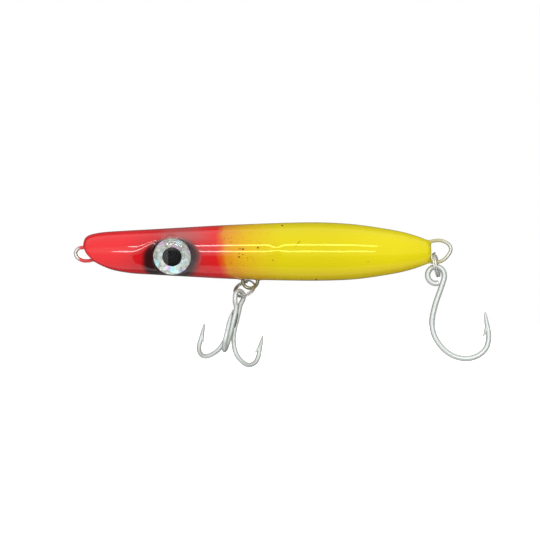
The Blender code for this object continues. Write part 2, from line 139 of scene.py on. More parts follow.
# Single hook: x and z from the centre of its eye
SINGLE_WIRE = 2.35
SINGLE_EYE = 3.55
SINGLE_PLACE = (151.2, 0.0, -10.1)
SINGLE_BEND = ((3.45, -1.6), (1.8, -6.6), (-0.2, -12.4), (-1.65, -19.0), (-1.3, -23.8), (0.4, -28.0),
               (3.8, -32.2), (8.2, -34.9), (13.3, -35.75), (18.0, -34.5), (21.4, -31.4), (22.6, -27.3),
               (22.4, -23.6), (21.7, -20.1), (21.1, -15.9))
SINGLE_BARB = ((22.0, -21.5), (21.3, -24.0), (20.1, -26.6))
SINGLE_TAPER = 9.0

# Light and camera
STRIP_RIGHT = 468  # where both strips end on the right
STRIP_REACH = 900  # distance from the lure
STRIP_HEIGHT = 75
STRIP_POWER = 2.1
FLOOR_Z = -0.25  # in metres, well below the lure
CAMERA_AIM = Vector((80.1, 0, -7.9))
CAMERA_DISTANCE = 642.8


# Node helpers


class Shader:
    """Short calls that add nodes to one tree. An input may be a number, a colour or another node's output."""

    def __init__(self, tree):
        self.tree = tree

    def put(self, node, socket, value):
        if value is None:
            return
        target = node.inputs[socket]
        if isinstance(value, bpy.types.NodeSocket):
            self.tree.links.new(value, target)
        else:
            target.default_value = value

    def node(self, kind, settings=None, **inputs):
        made = self.tree.nodes.new("ShaderNode" + kind)
        for name, value in (settings or {}).items():
            setattr(made, name, value)
        for name, value in inputs.items():
            self.put(made, name.replace("_", " "), value)
        return made

    def math(self, operation, a, b=None, clamp=False):
        made = self.node("Math", {"operation": operation, "use_clamp": clamp})
        self.put(made, 0, a)
        self.put(made, 1, b)
        return made.outputs[0]

    def plus(self, a, b):
        return self.math("ADD", a, b)

    def minus(self, a, b):
        return self.math("SUBTRACT", a, b)

    def times(self, a, b):
        return self.math("MULTIPLY", a, b)

    def rest_of(self, share):
        """What the share leaves of one."""
        return self.math("SUBTRACT", 1.0, share)

    def length(self, a, b):
        """How far (a, b) lies from (0, 0)."""
        return self.math("SQRT", self.plus(self.math("POWER", a, 2.0), self.math("POWER", b, 2.0)))

    def vector(self, operation, a, b=None):
        made = self.node("VectorMath", {"operation": operation})
        self.put(made, 0, a)
        self.put(made, 1, b)
        return made.outputs["Value" if operation in ("DISTANCE", "LENGTH", "DOT_PRODUCT") else 0]

    def mix(self, factor, a, b, blend="MIX"):
        made = self.node("Mix", {"data_type": "RGBA", "blend_type": blend})
        self.put(made, 0, factor)
        self.put(made, 6, a)
        self.put(made, 7, b)
        return made.outputs[2]

    def step(self, value, low, high, smooth=True):
        """0 below low and 1 above high."""
        settings = {"interpolation_type": "SMOOTHSTEP" if smooth else "LINEAR"}
        made = self.node("MapRange", settings, Value=value)
        made.inputs["From Min"].default_value = low
        made.inputs["From Max"].default_value = high
        return made.outputs[0]

    def ramp(self, value, stops):
        made = self.node("ValToRGB", Fac=value)
        elements = made.color_ramp.elements
        while len(elements) < len(stops):
            elements.new(0.5)
        for element, (place, colour) in zip(elements, stops):
            element.position = place
            element.color = (*colour, 1.0)
        return made.outputs[0]

    def noise(self, place, scale, detail=2.0, roughness=0.5):
        made = self.node("TexNoise", None, Vector=place, Scale=scale, Detail=detail, Roughness=roughness)
        return made.outputs["Fac"]

    def cells(self, place, scale):
        return self.node("TexVoronoi", None, Vector=place, Scale=scale).outputs

    def split(self, place):
        return self.node("SeparateXYZ", None, Vector=place).outputs

    def bump(self, height, distance):
        return self.node("Bump", None, Height=height, Distance=distance, Strength=1.0).outputs[0]


def new_material(name):
    """A material with its Principled shader, its helper, and the place on the surface in millimetres."""
    material = bpy.data.materials.new(name)
    material.use_nodes = True
    shade = Shader(material.node_tree)
    principled = material.node_tree.nodes["Principled BSDF"]
    place = shade.node("TexCoord").outputs["Object"]
    mapping = shade.node("Mapping", None, Vector=place)
    mapping.inputs["Scale"].default_value = (1 / MM, 1 / MM, 1 / MM)
    mapping.inputs["Location"].default_value = -MOVE
    return material, principled, shade, mapping.outputs[0]


def colour(*value):
    return (*value, 1.0)


# Materials


def faded_colour(shade, along, x, z):
    """Red at the head through orange and gold to yellow, with painted light that makes the yellow brighter
    towards the tail. Deeper and more ochre under the belly: partly the paint's own gradient, partly painted
    shade.
    """
    fade = shade.step(along, 50.6, 90.6, smooth=False)
    base = shade.ramp(fade, (
        (0.0, (0.63, 0.009, 0.014)), (0.17, (0.58, 0.010, 0.011)), (0.225, (0.56, 0.07, 0.010)),
        (0.275, (0.56, 0.205, 0.012)), (0.48, (0.57, 0.35, 0.011)), (0.66, (0.565, 0.42, 0.010)),
        (0.86, (0.56, 0.475, 0.007)), (1.0, (0.56, 0.475, 0.007)),
    ))
    # Painted light: the yellow is made brighter towards the tail.
    base = shade.mix(shade.step(x, 100.0, 135.0), base, colour(0.62, 0.53, 0.008))
    tail_end = shade.times(shade.step(x, 110.0, 145.0), 4.0)
    # Deeper and more ochre under the belly: partly the paint's own gradient, partly painted shade.
    belly = shade.step(shade.minus(z, tail_end), -6.0, -12.0)
    belly = shade.times(belly, shade.step(x, 60.0, 84.0))
    return shade.mix(belly, base, shade.mix(1.0, base, colour(1.0, 0.88, 0.8), "MULTIPLY"))


def eye_mist(shade, base, wobble, x, z):
    """Black mist round the eyes, which reaches further and thins out behind them. It is a little greyer
    behind them, a painted reflection, and grey above them, a painted sheen.
    """
    across = shade.minus(x, 38.0)
    behind = shade.step(across, -3.0, 10.0)
    up = shade.minus(shade.plus(z, 4.2), shade.times(behind, 1.4))
    up = shade.times(up, 1.22)
    far = shade.plus(shade.length(across, up), shade.times(wobble, 1.5))
    reach = shade.plus(14.3, shade.times(behind, 1.5))
    soft = shade.plus(3.8, shade.times(behind, 1.8))
    mist = shade.step(shade.math("DIVIDE", shade.minus(reach, far), soft), 0.0, 1.0)
    # Painted sheen: above the eye the mist reaches further and turns grey.
    above = shade.times(shade.step(z, 2.5, 6.5), shade.step(across, -8.0, 0.0))
    thin_mist_and_painted_sheen = shade.plus(0.34, shade.times(above, 0.38))
    thin_mist_and_painted_sheen = shade.times(shade.step(far, 24.0, 9.0), thin_mist_and_painted_sheen)
    mist = shade.times(shade.math("MAXIMUM", mist, thin_mist_and_painted_sheen), 0.97)
    # Painted reflection: behind the eye the black is a little greyer.
    black = shade.mix(behind, colour(0.006, 0.006, 0.007), colour(0.030, 0.029, 0.030))
    return shade.mix(mist, base, shade.mix(above, black, colour(0.12, 0.115, 0.11)))


def hanger_painted_shade(shade, base, place):
    """Painted shade in the paint round the hanger's legs, and a painted black shadow between them."""
    for leg in (HANGER_X - HANGER_HALF_WIDTH, HANGER_X + HANGER_HALF_WIDTH):
        distance = shade.vector("DISTANCE", place, (leg, 0.0, -12.2))
        # Painted shade: darker olive round each leg.
        painted_leg_shade = shade.times(shade.rest_of(shade.step(distance, 1.0, 2.2)), 0.85)
        base = shade.mix(painted_leg_shade, base, colour(0.035, 0.033, 0.006))
    # Painted shadow: black between the legs, under the belly.
    distance = shade.vector("DISTANCE", place, (HANGER_X, 0.0, -13.4))
    black = shade.rest_of(shade.step(distance, 1.8, 2.9))
    return shade.mix(shade.times(black, 0.95), base, colour(0.012, 0.011, 0.003))


def red_spray(shade, base, place):
    """Fine dots of red that thin out towards the tail, faint spots over the yellow, and the drops."""
    x, y, z = shade.split(place)[:3]
    cells = shade.cells(place, 0.95)
    near = shade.rest_of(shade.step(cells["Distance"], 0.14, 0.26))
    chosen = shade.split(cells["Color"])[0]
    thin = shade.times(shade.step(x, 56.0, 63.0), shade.rest_of(shade.step(x, 66.0, 92.0)))
    dots = shade.times(near, shade.math("LESS_THAN", chosen, shade.times(thin, 0.42)))
    base = shade.mix(shade.times(dots, 0.6), base, colour(0.50, 0.05, 0.01))

    wide = shade.cells(place, 0.17)
    spots = shade.rest_of(shade.step(wide["Distance"], 0.05, 0.14))
    chosen = shade.math("LESS_THAN", shade.split(wide["Color"])[1], 0.4)
    spots = shade.times(spots, shade.times(chosen, shade.step(x, 76.0, 84.0)))
    base = shade.mix(shade.times(spots, 0.3), base, colour(0.30, 0.20, 0.02))

    flat = shade.node("CombineXYZ", None, X=x, Y=0.0, Z=z).outputs[0]
    left_side = shade.math("LESS_THAN", y, 0.0)
    for drop_x, drop_z, radius in DROPS:
        distance = shade.vector("DISTANCE", flat, (drop_x, 0.0, drop_z))
        spot = shade.rest_of(shade.step(distance, radius * 0.55, radius * 1.35))
        base = shade.mix(shade.times(spot, left_side), base, colour(0.24, 0.03, 0.008))
    return base


def body_paint():
    material, principled, shade, place = new_material("body_paint")
    x, _, z = shade.split(place)[:3]
    wobble = shade.minus(shade.noise(place, 0.16, 3.0), 0.5)
    droop = shade.times(shade.step(z, -5.0, -12.0), 3.2)
    along = shade.minus(shade.plus(x, shade.times(wobble, 6.0)), droop)
    base = faded_colour(shade, along, x, z)
    base = eye_mist(shade, base, wobble, x, z)
    base = hanger_painted_shade(shade, base, place)
    base = red_spray(shade, base, place)
    shade.put(principled, "Base Color", base)

    # Over the yellow, the clear coat has yellowed, so what it reflects is tinted
    yellowed = shade.step(along, 56.0, 72.0)
    principled.inputs["Roughness"].default_value = 0.045
    principled.inputs["Specular IOR Level"].default_value = 0.5
    tint = shade.mix(yellowed, colour(0.0, 0.0, 0.0), colour(1.0, 0.92, 0.14))
    shade.put(principled, "Specular Tint", tint)
    shade.put(principled, "Coat Weight", shade.rest_of(shade.times(yellowed, 0.88)))
    principled.inputs["Coat Roughness"].default_value = 0.035
    principled.inputs["Coat IOR"].default_value = 1.5
    peel = shade.bump(shade.noise(place, 0.12, 1.0), 0.000008)
    shade.put(principled, "Normal", peel)
    shade.put(principled, "Coat Normal", peel)
    return material


def steel(name, tint, roughness, overspray=None, grain=0.15, metallic=1.0):
    """Bare wire with faint drawing marks. overspray is a function that gives the paint's colour and place."""
    material, principled, shade, place = new_material(name)
    marks = shade.noise(place, 1.2, 2.0)
    darker = colour(*(c * (1 - grain) for c in tint))
    lighter = colour(*(min(1, c * (1 + grain)) for c in tint))
    shade_of = shade.mix(marks, darker, lighter)
    rough = shade.plus(roughness - 0.06, shade.times(marks, 0.12))
    if overspray:
        paint, mask = overspray(shade, place)
        shade_of = shade.mix(mask, shade_of, paint)
        metallic = shade.math("SUBTRACT", metallic, mask, clamp=True)
    shade.put(principled, "Base Color", shade_of)
    shade.put(principled, "Metallic", metallic)
    shade.put(principled, "Roughness", rough)
    shade.put(principled, "Normal", shade.bump(marks, 0.000005))
    return material


def loop_overspray(shade, place):
    """Red on the nose loop's legs and yellow on the tail loop's, patchy towards the crowns."""
    x = shade.split(place)[0]
    patch = shade.times(shade.minus(shade.noise(place, 0.55, 2.0), 0.5), 2.2)
    nose = shade.plus(x, patch)
    red = shade.step(nose, -2.6, -0.9)
    tail = shade.step(shade.plus(x, patch), 157.5, 151.0)
    tail = shade.times(tail, 0.8)
    at_tail = shade.math("GREATER_THAN", x, 75.0)
    paint = shade.mix(at_tail, colour(0.55, 0.03, 0.03), colour(0.36, 0.32, 0.09))
    mask = shade.plus(shade.times(red, shade.rest_of(at_tail)),
                      shade.times(tail, at_tail))
    return paint, mask


def shaded_hanger_overspray(shade, place):
    # Olive overspray, darker than the tail loop's: partly the paint's own colour, partly painted shade under
    # the belly.
    patch = shade.noise(place, 0.7, 3.0)
    mask = shade.step(patch, 0.30, 0.62)
    return colour(0.14, 0.135, 0.032), shade.times(mask, 0.9)


def holographic_foil():
    """Crackled silver that turns to beige and aqua, with violet, pink and cyan facets and a few scratches,
    and painted light that makes it darker at the top of the eye and brighter towards the bottom.
    """
    material, principled, shade, place = new_material("holographic_foil")
    tone = shade.split(shade.cells(place, 0.8)["Color"])
    silver = shade.mix(tone[1], colour(0.19, 0.20, 0.18), colour(0.42, 0.435, 0.415))
    warm = shade.step(shade.noise(place, 0.22, 1.0), 0.40, 0.60)
    cast = shade.mix(warm, colour(0.90, 1.0, 0.98), colour(1.0, 0.95, 0.84))
    silver = shade.mix(1.0, silver, cast, "MULTIPLY")
    facet = shade.split(shade.cells(place, 0.46)["Color"])
    hue = shade.plus(0.31, shade.times(facet[1], 0.44))
    violet = colour(0.33, 0.29, 0.80)
    rainbow = shade.node("HueSaturation", None, Hue=hue, Saturation=1.0, Value=1.0, Color=violet).outputs[0]
    strength = shade.times(shade.step(facet[0], 0.62, 0.74), 0.34)
    base = shade.mix(strength, silver, rainbow)
    streak = shade.noise(shade.vector("MULTIPLY", place, (0.35, 1.0, 1.6)), 1.1, 3.0, 0.65)
    scratch = shade.step(shade.math("ABSOLUTE", shade.minus(streak, 0.5)), 0.035, 0.0)
    scratched = shade.step(shade.noise(place, 0.26, 1.0), 0.46, 0.56)
    scratch = shade.times(scratch, shade.times(scratched, 0.7))
    base = shade.mix(scratch, base, colour(0.1, 0.11, 0.11))
    # Painted light: the foil is darker at the top of the eye and brighter towards the bottom.
    painted_light_share = shade.step(shade.split(place)[2], 4.0, -9.0, smooth=False)
    lit = shade.mix(painted_light_share, colour(0.86, 0.85, 0.84), colour(1.9, 1.98, 2.1))
    base = shade.mix(1.0, base, lit, "MULTIPLY")
    shade.put(principled, "Base Color", base)
    principled.inputs["Metallic"].default_value = 0.15
    principled.inputs["Roughness"].default_value = 0.45
    height = shade.plus(shade.times(tone[2], 0.5), shade.noise(place, 2.2, 2.0))
    shade.put(principled, "Normal", shade.bump(height, 0.00012))
    return material


def pupil_black():
    material, principled, shade, place = new_material("pupil_black")
    tone = shade.noise(place, 0.8, 2.0)
    black = shade.mix(tone, colour(0.001, 0.001, 0.001), colour(0.005, 0.005, 0.006))
    shade.put(principled, "Base Color", black)
    principled.inputs["Roughness"].default_value = 0.5
    principled.inputs["Specular IOR Level"].default_value = 0.1
    return material


def clear_resin():
    material, principled, shade, place = new_material("clear_resin")
    principled.inputs["Transmission Weight"].default_value = 1.0
    principled.inputs["IOR"].default_value = 1.58
    principled.inputs["Roughness"].default_value = 0.0
    faint = shade.noise(place, 0.3, 1.0)
    shade.put(principled, "Base Color", shade.mix(faint, colour(0.985, 0.99, 0.99), colour(1.0, 1.0, 1.0)))
    return material


def cast_lead():
    material, principled, shade, place = new_material("cast_lead")
    tone = shade.noise(place, 0.9, 4.0)
    shade.put(principled, "Base Color", shade.mix(tone, colour(0.14, 0.15, 0.16), colour(0.30, 0.31, 0.33)))
    principled.inputs["Metallic"].default_value = 1.0
    principled.inputs["Roughness"].default_value = 0.6
    shade.put(principled, "Normal", shade.bump(tone, 0.0001))
    return material


# Mesh helpers


def add_piece(name, shape, material, body, slot, *replaced):
    """A finished piece on a CAD body. It stands for the CAD nodes that it replaces."""
    mesh = mesh_of(name, *shape)
    mesh.materials.append(material)
    for polygon in mesh.polygons:
        polygon.use_smooth = True
    obj = bpy.data.objects.new(name, mesh)
    bpy.context.scene.collection.objects.link(obj)
    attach(obj, body)
    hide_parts(*replaced)
    return obj


def mesh_of(name, points, faces):
    """A mesh from points in the body's frame, in millimetres."""
    mesh = bpy.data.meshes.new(name)
    mesh.from_pydata([(Vector(p) + MOVE) * MM for p in points], [], faces)
    mesh.update()
    return mesh


def smooth(points, per_span):
    """A Catmull-Rom curve through the points, with this many steps from each to the next."""
    knots = [Vector(point) for point in points]
    knots = [2 * knots[0] - knots[1], *knots, 2 * knots[-1] - knots[-2]]
    curve = []
    for before, start, end, after in zip(knots, knots[1:], knots[2:], knots[3:]):
        for step in range(per_span):
            t = step / per_span
            curve.append(
                0.5 * (2 * start + (end - before) * t + (2 * before - 5 * start + 4 * end - after) * t**2
                       + (3 * start - before - 3 * end + after) * t**3)
            )
    return [*curve, knots[-2]]


def in_plane(points):
    return [Vector((x, 0, z)) for x, z in points]


def arc(centre, radius, start, end, steps):
    angles = [math.radians(start + (end - start) * step / steps) for step in range(steps + 1)]
    return [(centre[0] + radius * math.cos(a), centre[1] + radius * math.sin(a)) for a in angles]


def tube(path, radii, sides=20):
    """Points and faces of a round wire along the path, whose rings turn as little as they can. A centre point
    closes each end.
    """
    count = len(path)
    tangents = [(path[min(i + 1, count - 1)] - path[max(i - 1, 0)]).normalized() for i in range(count)]
    side = tangents[0].orthogonal()
    points = []
    for place, tangent, radius in zip(path, tangents, radii):
        side = (side - side.dot(tangent) * tangent).normalized()
        other = tangent.cross(side)
        for step in range(sides):
            turn = math.tau * step / sides
            points.append(place + radius * (math.cos(turn) * side + math.sin(turn) * other))
    faces = []
    for ring in range(count - 1):
        for step in range(sides):
            after = (step + 1) % sides
            a, b = ring * sides + step, ring * sides + after
            faces.append((a, b, b + sides, a + sides))
    points += [path[0] - tangents[0] * radii[0] * 0.25, path[-1] + tangents[-1] * radii[-1] * 0.25]
    low, high = len(points) - 2, len(points) - 1
    last = (count - 1) * sides
    for step in range(sides):
        after = (step + 1) % sides
        faces.append((low, after, step))
        faces.append((high, last + step, last + after))
    return points, faces


def joined(*parts):
    """Several lists of points and faces as one."""
    points, faces = [], []
    for more_points, more_faces in parts:
        start = len(points)
        points += list(more_points)
        faces += [tuple(index + start for index in face) for face in more_faces]
    return points, faces


def lathe(profile, sides):
    """Points and faces turned round local Z. The profile's points (r, z) run from the top's centre to the
    bottom's centre.
    """
    inner = profile[1:-1]
    points = [Vector((0, 0, profile[0][1]))]
    for r, z in inner:
        points += [Vector((r * math.cos(math.tau * s / sides), r * math.sin(math.tau * s / sides), z))
                   for s in range(sides)]
    points.append(Vector((0, 0, profile[-1][1])))
    faces = []
    for step in range(sides):
        after = (step + 1) % sides
        faces.append((0, 1 + step, 1 + after))
        for ring in range(len(inner) - 1):
            a, b = 1 + ring * sides + step, 1 + ring * sides + after
            faces.append((a, a + sides, b + sides, b))
        last = 1 + (len(inner) - 1) * sides
        faces.append((len(points) - 1, last + after, last + step))
    return points, faces


# Body


def smooth_max(a, b, width):
    share = np.clip(0.5 + 0.5 * (a - b) / width, 0, 1)
    return b * (1 - share) + a * share + width * share * (1 - share)


def smooth_min(a, b, width):
    return -smooth_max(-a, -b, width)


def dense(points, spread):
    """(x, value) of a smooth curve through the points, evened out over this many millimetres."""
    curve = np.array([tuple(p) for p in smooth(points, 24)])
    grid = np.arange(curve[0, 0], curve[-1, 0] + GRID_STEP / 2, GRID_STEP)
    values = np.interp(grid, curve[:, 0], curve[:, 1])
    reach = int(3 * spread / GRID_STEP)
    weights = np.exp(-0.5 * (np.arange(-reach, reach + 1) * GRID_STEP / spread) ** 2)
    before = 2 * values[0] - values[reach:0:-1]
    after = 2 * values[-1] - values[-2:-reach - 2:-1]
    padded = np.concatenate([before, values, after])
    return grid, np.convolve(padded, weights / weights.sum(), "valid")


PROFILE_X, EVEN_R = dense(BODY_STATIONS, 1.6)
EXACT_R = dense(BODY_STATIONS, 0.15)[1]
AWAY_FROM_ENDS = np.clip((PROFILE_X - 5) / 8, 0, 1) * np.clip((BODY_LENGTH - 2 - PROFILE_X) / 8, 0, 1)
PROFILE_R = EXACT_R + (EVEN_R - EXACT_R) * AWAY_FROM_ENDS
SLANT_X, SLANT_Z = dense(SLANT, 0.4)


def body_radius(x):
    return np.interp(x, PROFILE_X, PROFILE_R)


def eye_seat(shape, x, y, z, side):
    """The body's shape with one eye's dish in front, the collar round it and the pocket that holds it."""
    out_y, out_z = side * math.cos(EYE_TILT), -math.sin(EYE_TILT)
    dx, dy, dz = x - EYE_CENTRE[0], y - side * EYE_CENTRE[1], z - EYE_CENTRE[2]
    height = dy * out_y + dz * out_z
    off = np.sqrt(np.maximum(dx**2 + dy**2 + dz**2 - height**2, 0))
    dish = height - DISH_DEPTH - DISH_SLOPE * (EYE_CENTRE[0] - EYE_RADIUS - x)
    dish = smooth_max(-dish, dx + 2.0, 2.0)
    shape = smooth_max(shape, -dish, 0.8)
    collar = smooth_max(off - EYE_RADIUS - COLLAR_WALL, height - COLLAR_TOP, 0.6)
    collar = smooth_max(collar, -COLLAR_ROOT - height, 1.0)
    shape = smooth_min(shape, collar, 1.6)
    opening = EYE_RADIUS + 0.05 + 1.1 * np.maximum(height - COLLAR_TOP, 0)
    pocket = smooth_max((off - opening) / 1.5, POCKET_FLOOR - height, 0.1)
    return smooth_max(shape, -pocket, 0.5)


def solid(p):
    """Below zero inside the painted body, for points p[..., 3] in the body's frame."""
    x, y, z = p[..., 0], p[..., 1], p[..., 2]
    round_side = np.hypot(y, z + BODY_DROP) - body_radius(x)
    shape = smooth_max(round_side, -x, 1.0)
    shape = smooth_max(shape, x - BODY_LENGTH, 2.2)
    slope = np.interp(x, SLANT_X[:-1], np.diff(SLANT_Z) / GRID_STEP)
    shape = smooth_max(shape, (np.interp(x, SLANT_X, SLANT_Z) - z) / np.sqrt(1 + slope**2), 1.6)
    for side in (-1, 1):
        shape = eye_seat(shape, x, y, z, side)
    away = (x - DRIP[0]) ** 2 + (y - DRIP[1]) ** 2 + (z - DRIP[2]) ** 2
    shape = shape - DRIP_HEIGHT * np.exp(-0.5 * away / DRIP_SPREAD**2)
    for exit_x, exit_z, height in WIRE_EXITS:
        away = (x - exit_x) ** 2 + y**2 + (z - exit_z) ** 2
        shape = shape - height * np.exp(-0.5 * away / MENISCUS_SPREAD**2)
    return shape


def surface_along(starts, directions):
    """Where rays from inside the body leave it."""
    reach = 22.0  # outside the body from anywhere in it
    low = np.zeros(starts.shape[:-1])
    high = np.full(starts.shape[:-1], reach)
    # The first crossing, found coarsely, so that a ray stops at the eye's pocket
    found = np.zeros(low.shape, bool)
    coarse = np.linspace(0, reach, 111)
    for before, after in zip(coarse, coarse[1:]):
        outside = solid(starts + directions * after) > 0
        new = outside & ~found
        low[new], high[new] = before, after
        found |= outside
    for _ in range(24):
        middle = (low + high) / 2
        inside = solid(starts + directions * middle[..., None]) < 0
        low = np.where(inside, middle, low)
        high = np.where(inside, high, middle)
    return starts + directions * high[..., None]


def core_z(x):
    """Half way between the body's top and underside."""
    top = body_radius(x)
    under = np.maximum(-top, np.interp(x, SLANT_X, SLANT_Z))
    return (top + under) / 2


def skin_stations():
    """Stations along the body, closer together round the eyes, the hanger and the drip."""
    x = NOSE_CORE_X
    stations = []
    while x < TAIL_CORE_X - 0.2:
        stations.append(x)
        close = 26.5 < x < 52 or 66 < x < 87
        x += 0.32 if close else 0.8
    return [*stations, TAIL_CORE_X]


def make_body():
    sides = 176
    turn = np.arange(sides) * math.tau / sides
    ring = np.stack([np.zeros(sides), np.sin(turn), np.cos(turn)], -1)
    rows = []
    cap_steps = 26
    for step in range(1, cap_steps):
        lean = math.pi / 2 * step / cap_steps
        rows.append((NOSE_CORE_X, ring * math.sin(lean) + np.array([-math.cos(lean), 0, 0])))
    rows += [(x, ring) for x in skin_stations()]
    for step in range(cap_steps - 1, 0, -1):
        lean = math.pi / 2 * step / cap_steps
        rows.append((TAIL_CORE_X, ring * math.sin(lean) + np.array([math.cos(lean), 0, 0])))
    starts = np.array([np.tile((x, 0, float(core_z(x))), (sides, 1)) for x, _ in rows])
    directions = np.array([d for _, d in rows])
    points = surface_along(starts, directions).reshape(-1, 3)
    tips = surface_along(np.array([starts[0, 0], starts[-1, 0]]), np.array([[-1.0, 0, 0], [1.0, 0, 0]]))
    points = [tuple(p) for p in points] + [tuple(p) for p in tips]
    faces = []
    for row in range(len(rows) - 1):
        for step in range(sides):
            after = (step + 1) % sides
            a, b = row * sides + step, row * sides + after
            faces.append((a, a + sides, b + sides, b))
    nose, tail, last = len(points) - 2, len(points) - 1, (len(rows) - 1) * sides
    for step in range(sides):
        after = (step + 1) % sides
        faces.append((nose, step, after))
        faces.append((tail, last + after, last + step))
    add_piece("painted_body", (points, faces), body_paint(), "root", "painted_body",
              "body_left_half", "body_right_half")


# Eyes


def in_eye(points, side):
    """Points of an eye's own frame, whose Z points out of the body and whose Y points towards the back or the
    belly.
    """
    turn = Matrix.Rotation(-side * (math.radians(90) + EYE_TILT), 3, "X")
    centre = Vector((EYE_CENTRE[0], side * EYE_CENTRE[1], EYE_CENTRE[2]))
    return [centre + turn @ Vector(p) for p in points]


def dome_profile():
    """A shallow lens with a rounded shoulder, cast over the foil and the pupil."""
    edge = EYE_RADIUS - 0.3
    low = FOIL_LOW - 0.04
    profile = []
    for step in range(31):
        share = step / 30
        profile.append((edge * share, DOME_TOP - DOME_FALL * share**2 - DOME_SHOULDER * share**9))
    rim = profile[-1][1]
    profile += [(EYE_RADIUS - 0.12, rim - 0.16), (EYE_RADIUS - 0.03, rim - 0.34), (EYE_RADIUS, rim - 0.55),
                (EYE_RADIUS, low + 0.05), (EYE_RADIUS - 0.05, low), (PUPIL_RADIUS, low), (0, low)]
    return profile


def sagged(points, side):
    """The dome's points with its top sloped a little, as resin sets."""
    middle = DOME_TOP - DOME_FALL - DOME_SHOULDER - 0.6
    sloped = []
    for point in points:
        share = min(max((point.z - PUPIL_TOP - 0.1) / (middle - PUPIL_TOP), 0.0), 1.0)
        sloped.append(point + Vector((0, 0, -share * DOME_SAG * side * point.y)))
    return sloped


def disc_profile(radius, low, high, bevel):
    upper = [(0, high), (radius * 0.5, high), (radius - bevel, high), (radius, high - bevel)]
    lower = [(radius, low + bevel), (radius - bevel, low), (radius * 0.5, low), (0, low)]
    return upper + lower


def make_eyes():
    foil, black, resin = holographic_foil(), pupil_black(), clear_resin()
    for side, name in ((-1, "left_eye"), (1, "right_eye")):
        for part, profile, material, slot in (
            ("foil", disc_profile(EYE_RADIUS - 0.05, FOIL_LOW, FOIL_TOP, 0.04), foil, "eye_foil"),
            ("pupil", disc_profile(PUPIL_RADIUS, FOIL_TOP - 0.02, PUPIL_TOP, 0.03), black, "eye_pupil"),
            ("dome", dome_profile(), resin, "eye_resin"),
        ):
            points, faces = lathe(profile, 96)
            if part == "dome":
                points = sagged(points, side)
            label = f"{name}_{part}_finish"
            shape = (in_eye(points, side), faces)
            piece = add_piece(label, shape, material, "root", slot, f"{name}_{part}")
            piece.visible_shadow = part != "dome"  # clear resin: light reaches the foil below


# Wires and rings


def make_frame_wires():
    metal = steel("frame_wire_steel", (0.52, 0.51, 0.46), 0.42, loop_overspray, metallic=0.8)
    path = in_plane([*smooth(NOSE_LOOP, 10), *smooth(TAIL_LOOP, 10)])
    wire = tube(path, [FRAME_WIRE / 2] * len(path))
    add_piece("through_wire_finish", wire, metal, "root", "frame_wire", "through_wire")
    front, rear = HANGER_X - HANGER_HALF_WIDTH, HANGER_X + HANGER_HALF_WIDTH
    crown = arc((HANGER_X, HANGER_ARC_Z), HANGER_HALF_WIDTH, 180, 360, 40)
    path = in_plane([(front, HANGER_TOP_Z), (front, -9.0), *crown, (rear, -9.0), (rear, HANGER_TOP_Z)])
    wire = tube(path, [FRAME_WIRE / 2] * len(path))
    # The hanger's bare wire is tinted darker than the frame wire: painted shade under the belly.
    metal = steel("shaded_hanger_steel", (0.25, 0.24, 0.19), 0.34, shaded_hanger_overspray)
    add_piece("belly_hanger_finish", wire, metal, "root", "frame_wire", "belly_hanger")


def ring_axes(ring):
    stand = Matrix.Rotation(math.radians(90 - ring["turn"]), 3, "X")
    return Matrix.Rotation(-math.radians(ring["lean"]), 3, "Y") @ stand


def ring_point(ring, angle, lift=0.0):
    flat = Vector((ring["radius"] * math.cos(angle), ring["radius"] * math.sin(angle), lift))
    return Vector(ring["centre"]) + ring_axes(ring) @ flat


def ring_path(ring):
    """Two turns of wire, which step across just before the first turn meets its own start."""
    path = []
    last_angle, crossing_start, crossing_length = 660, 305, 45
    steps = 220
    for step in range(steps + 1):
        angle = last_angle * step / steps
        share = min(max((angle - crossing_start) / crossing_length, 0), 1)
        lift = RING_PITCH * (3 * share**2 - 2 * share**3) - RING_PITCH / 2
        path.append(ring_point(ring, math.radians(angle + ring["start"]), lift))
    return path


def make_rings():
    for name, ring, body, tint in (
        ("belly_split_ring", BELLY_RING, "belly_ring", (0.48, 0.46, 0.43)),
        ("tail_split_ring", TAIL_RING, "tail_ring", (0.64, 0.63, 0.60)),
    ):
        # The belly ring's tint is darker than the tail ring's: painted shade, where it hangs under the belly.
        metal = steel(f"{name}_steel", tint, 0.34, metallic=0.85)
        path = ring_path(ring)
        wire = tube(path, [RING_WIRE / 2] * len(path), 16)
        add_piece(f"{name}_finish", wire, metal, body, "split_ring", name)


# Hooks


def radial(r, d, turn):
    return Vector((r * math.sin(turn), -r * math.cos(turn), -d))


def point_radii(path, full, length, at_end=True):
    """Full thickness, but for the last stretch, which runs down to the hook's point."""
    walked = [0.0]
    for before, after in zip(path, path[1:]):
        walked.append(walked[-1] + (after - before).length)
    total = walked[-1]
    radii = []
    for so_far in walked:
        left = total - so_far if at_end else so_far
        share = min(left / length, 1.0)
        radii.append(full * (0.22 + 0.78 * share**0.55))
    return radii


def spur(points, radius):
    path = [Vector(p) for p in smooth(points, 8)]
    count = len(path)
    radii = [radius * (1 - (i / (count - 1)) ** 2.4) + 0.04 for i in range(count)]
    return tube(path, radii, 12)


def in_treble(parts):
    centre = ring_point(BELLY_RING, TREBLE_ON_RING)
    return [(centre + TREBLE_AXES @ Vector(p)) for p in parts]


def hook_bend(turn):
    return [radial(r, d, turn) for r, d in smooth(TREBLE_BEND, 10)]


def treble_barb(where):
    return spur([radial(r, d, where) for r, d in TREBLE_BARB], TREBLE_WIRE * BARB_SHARE)


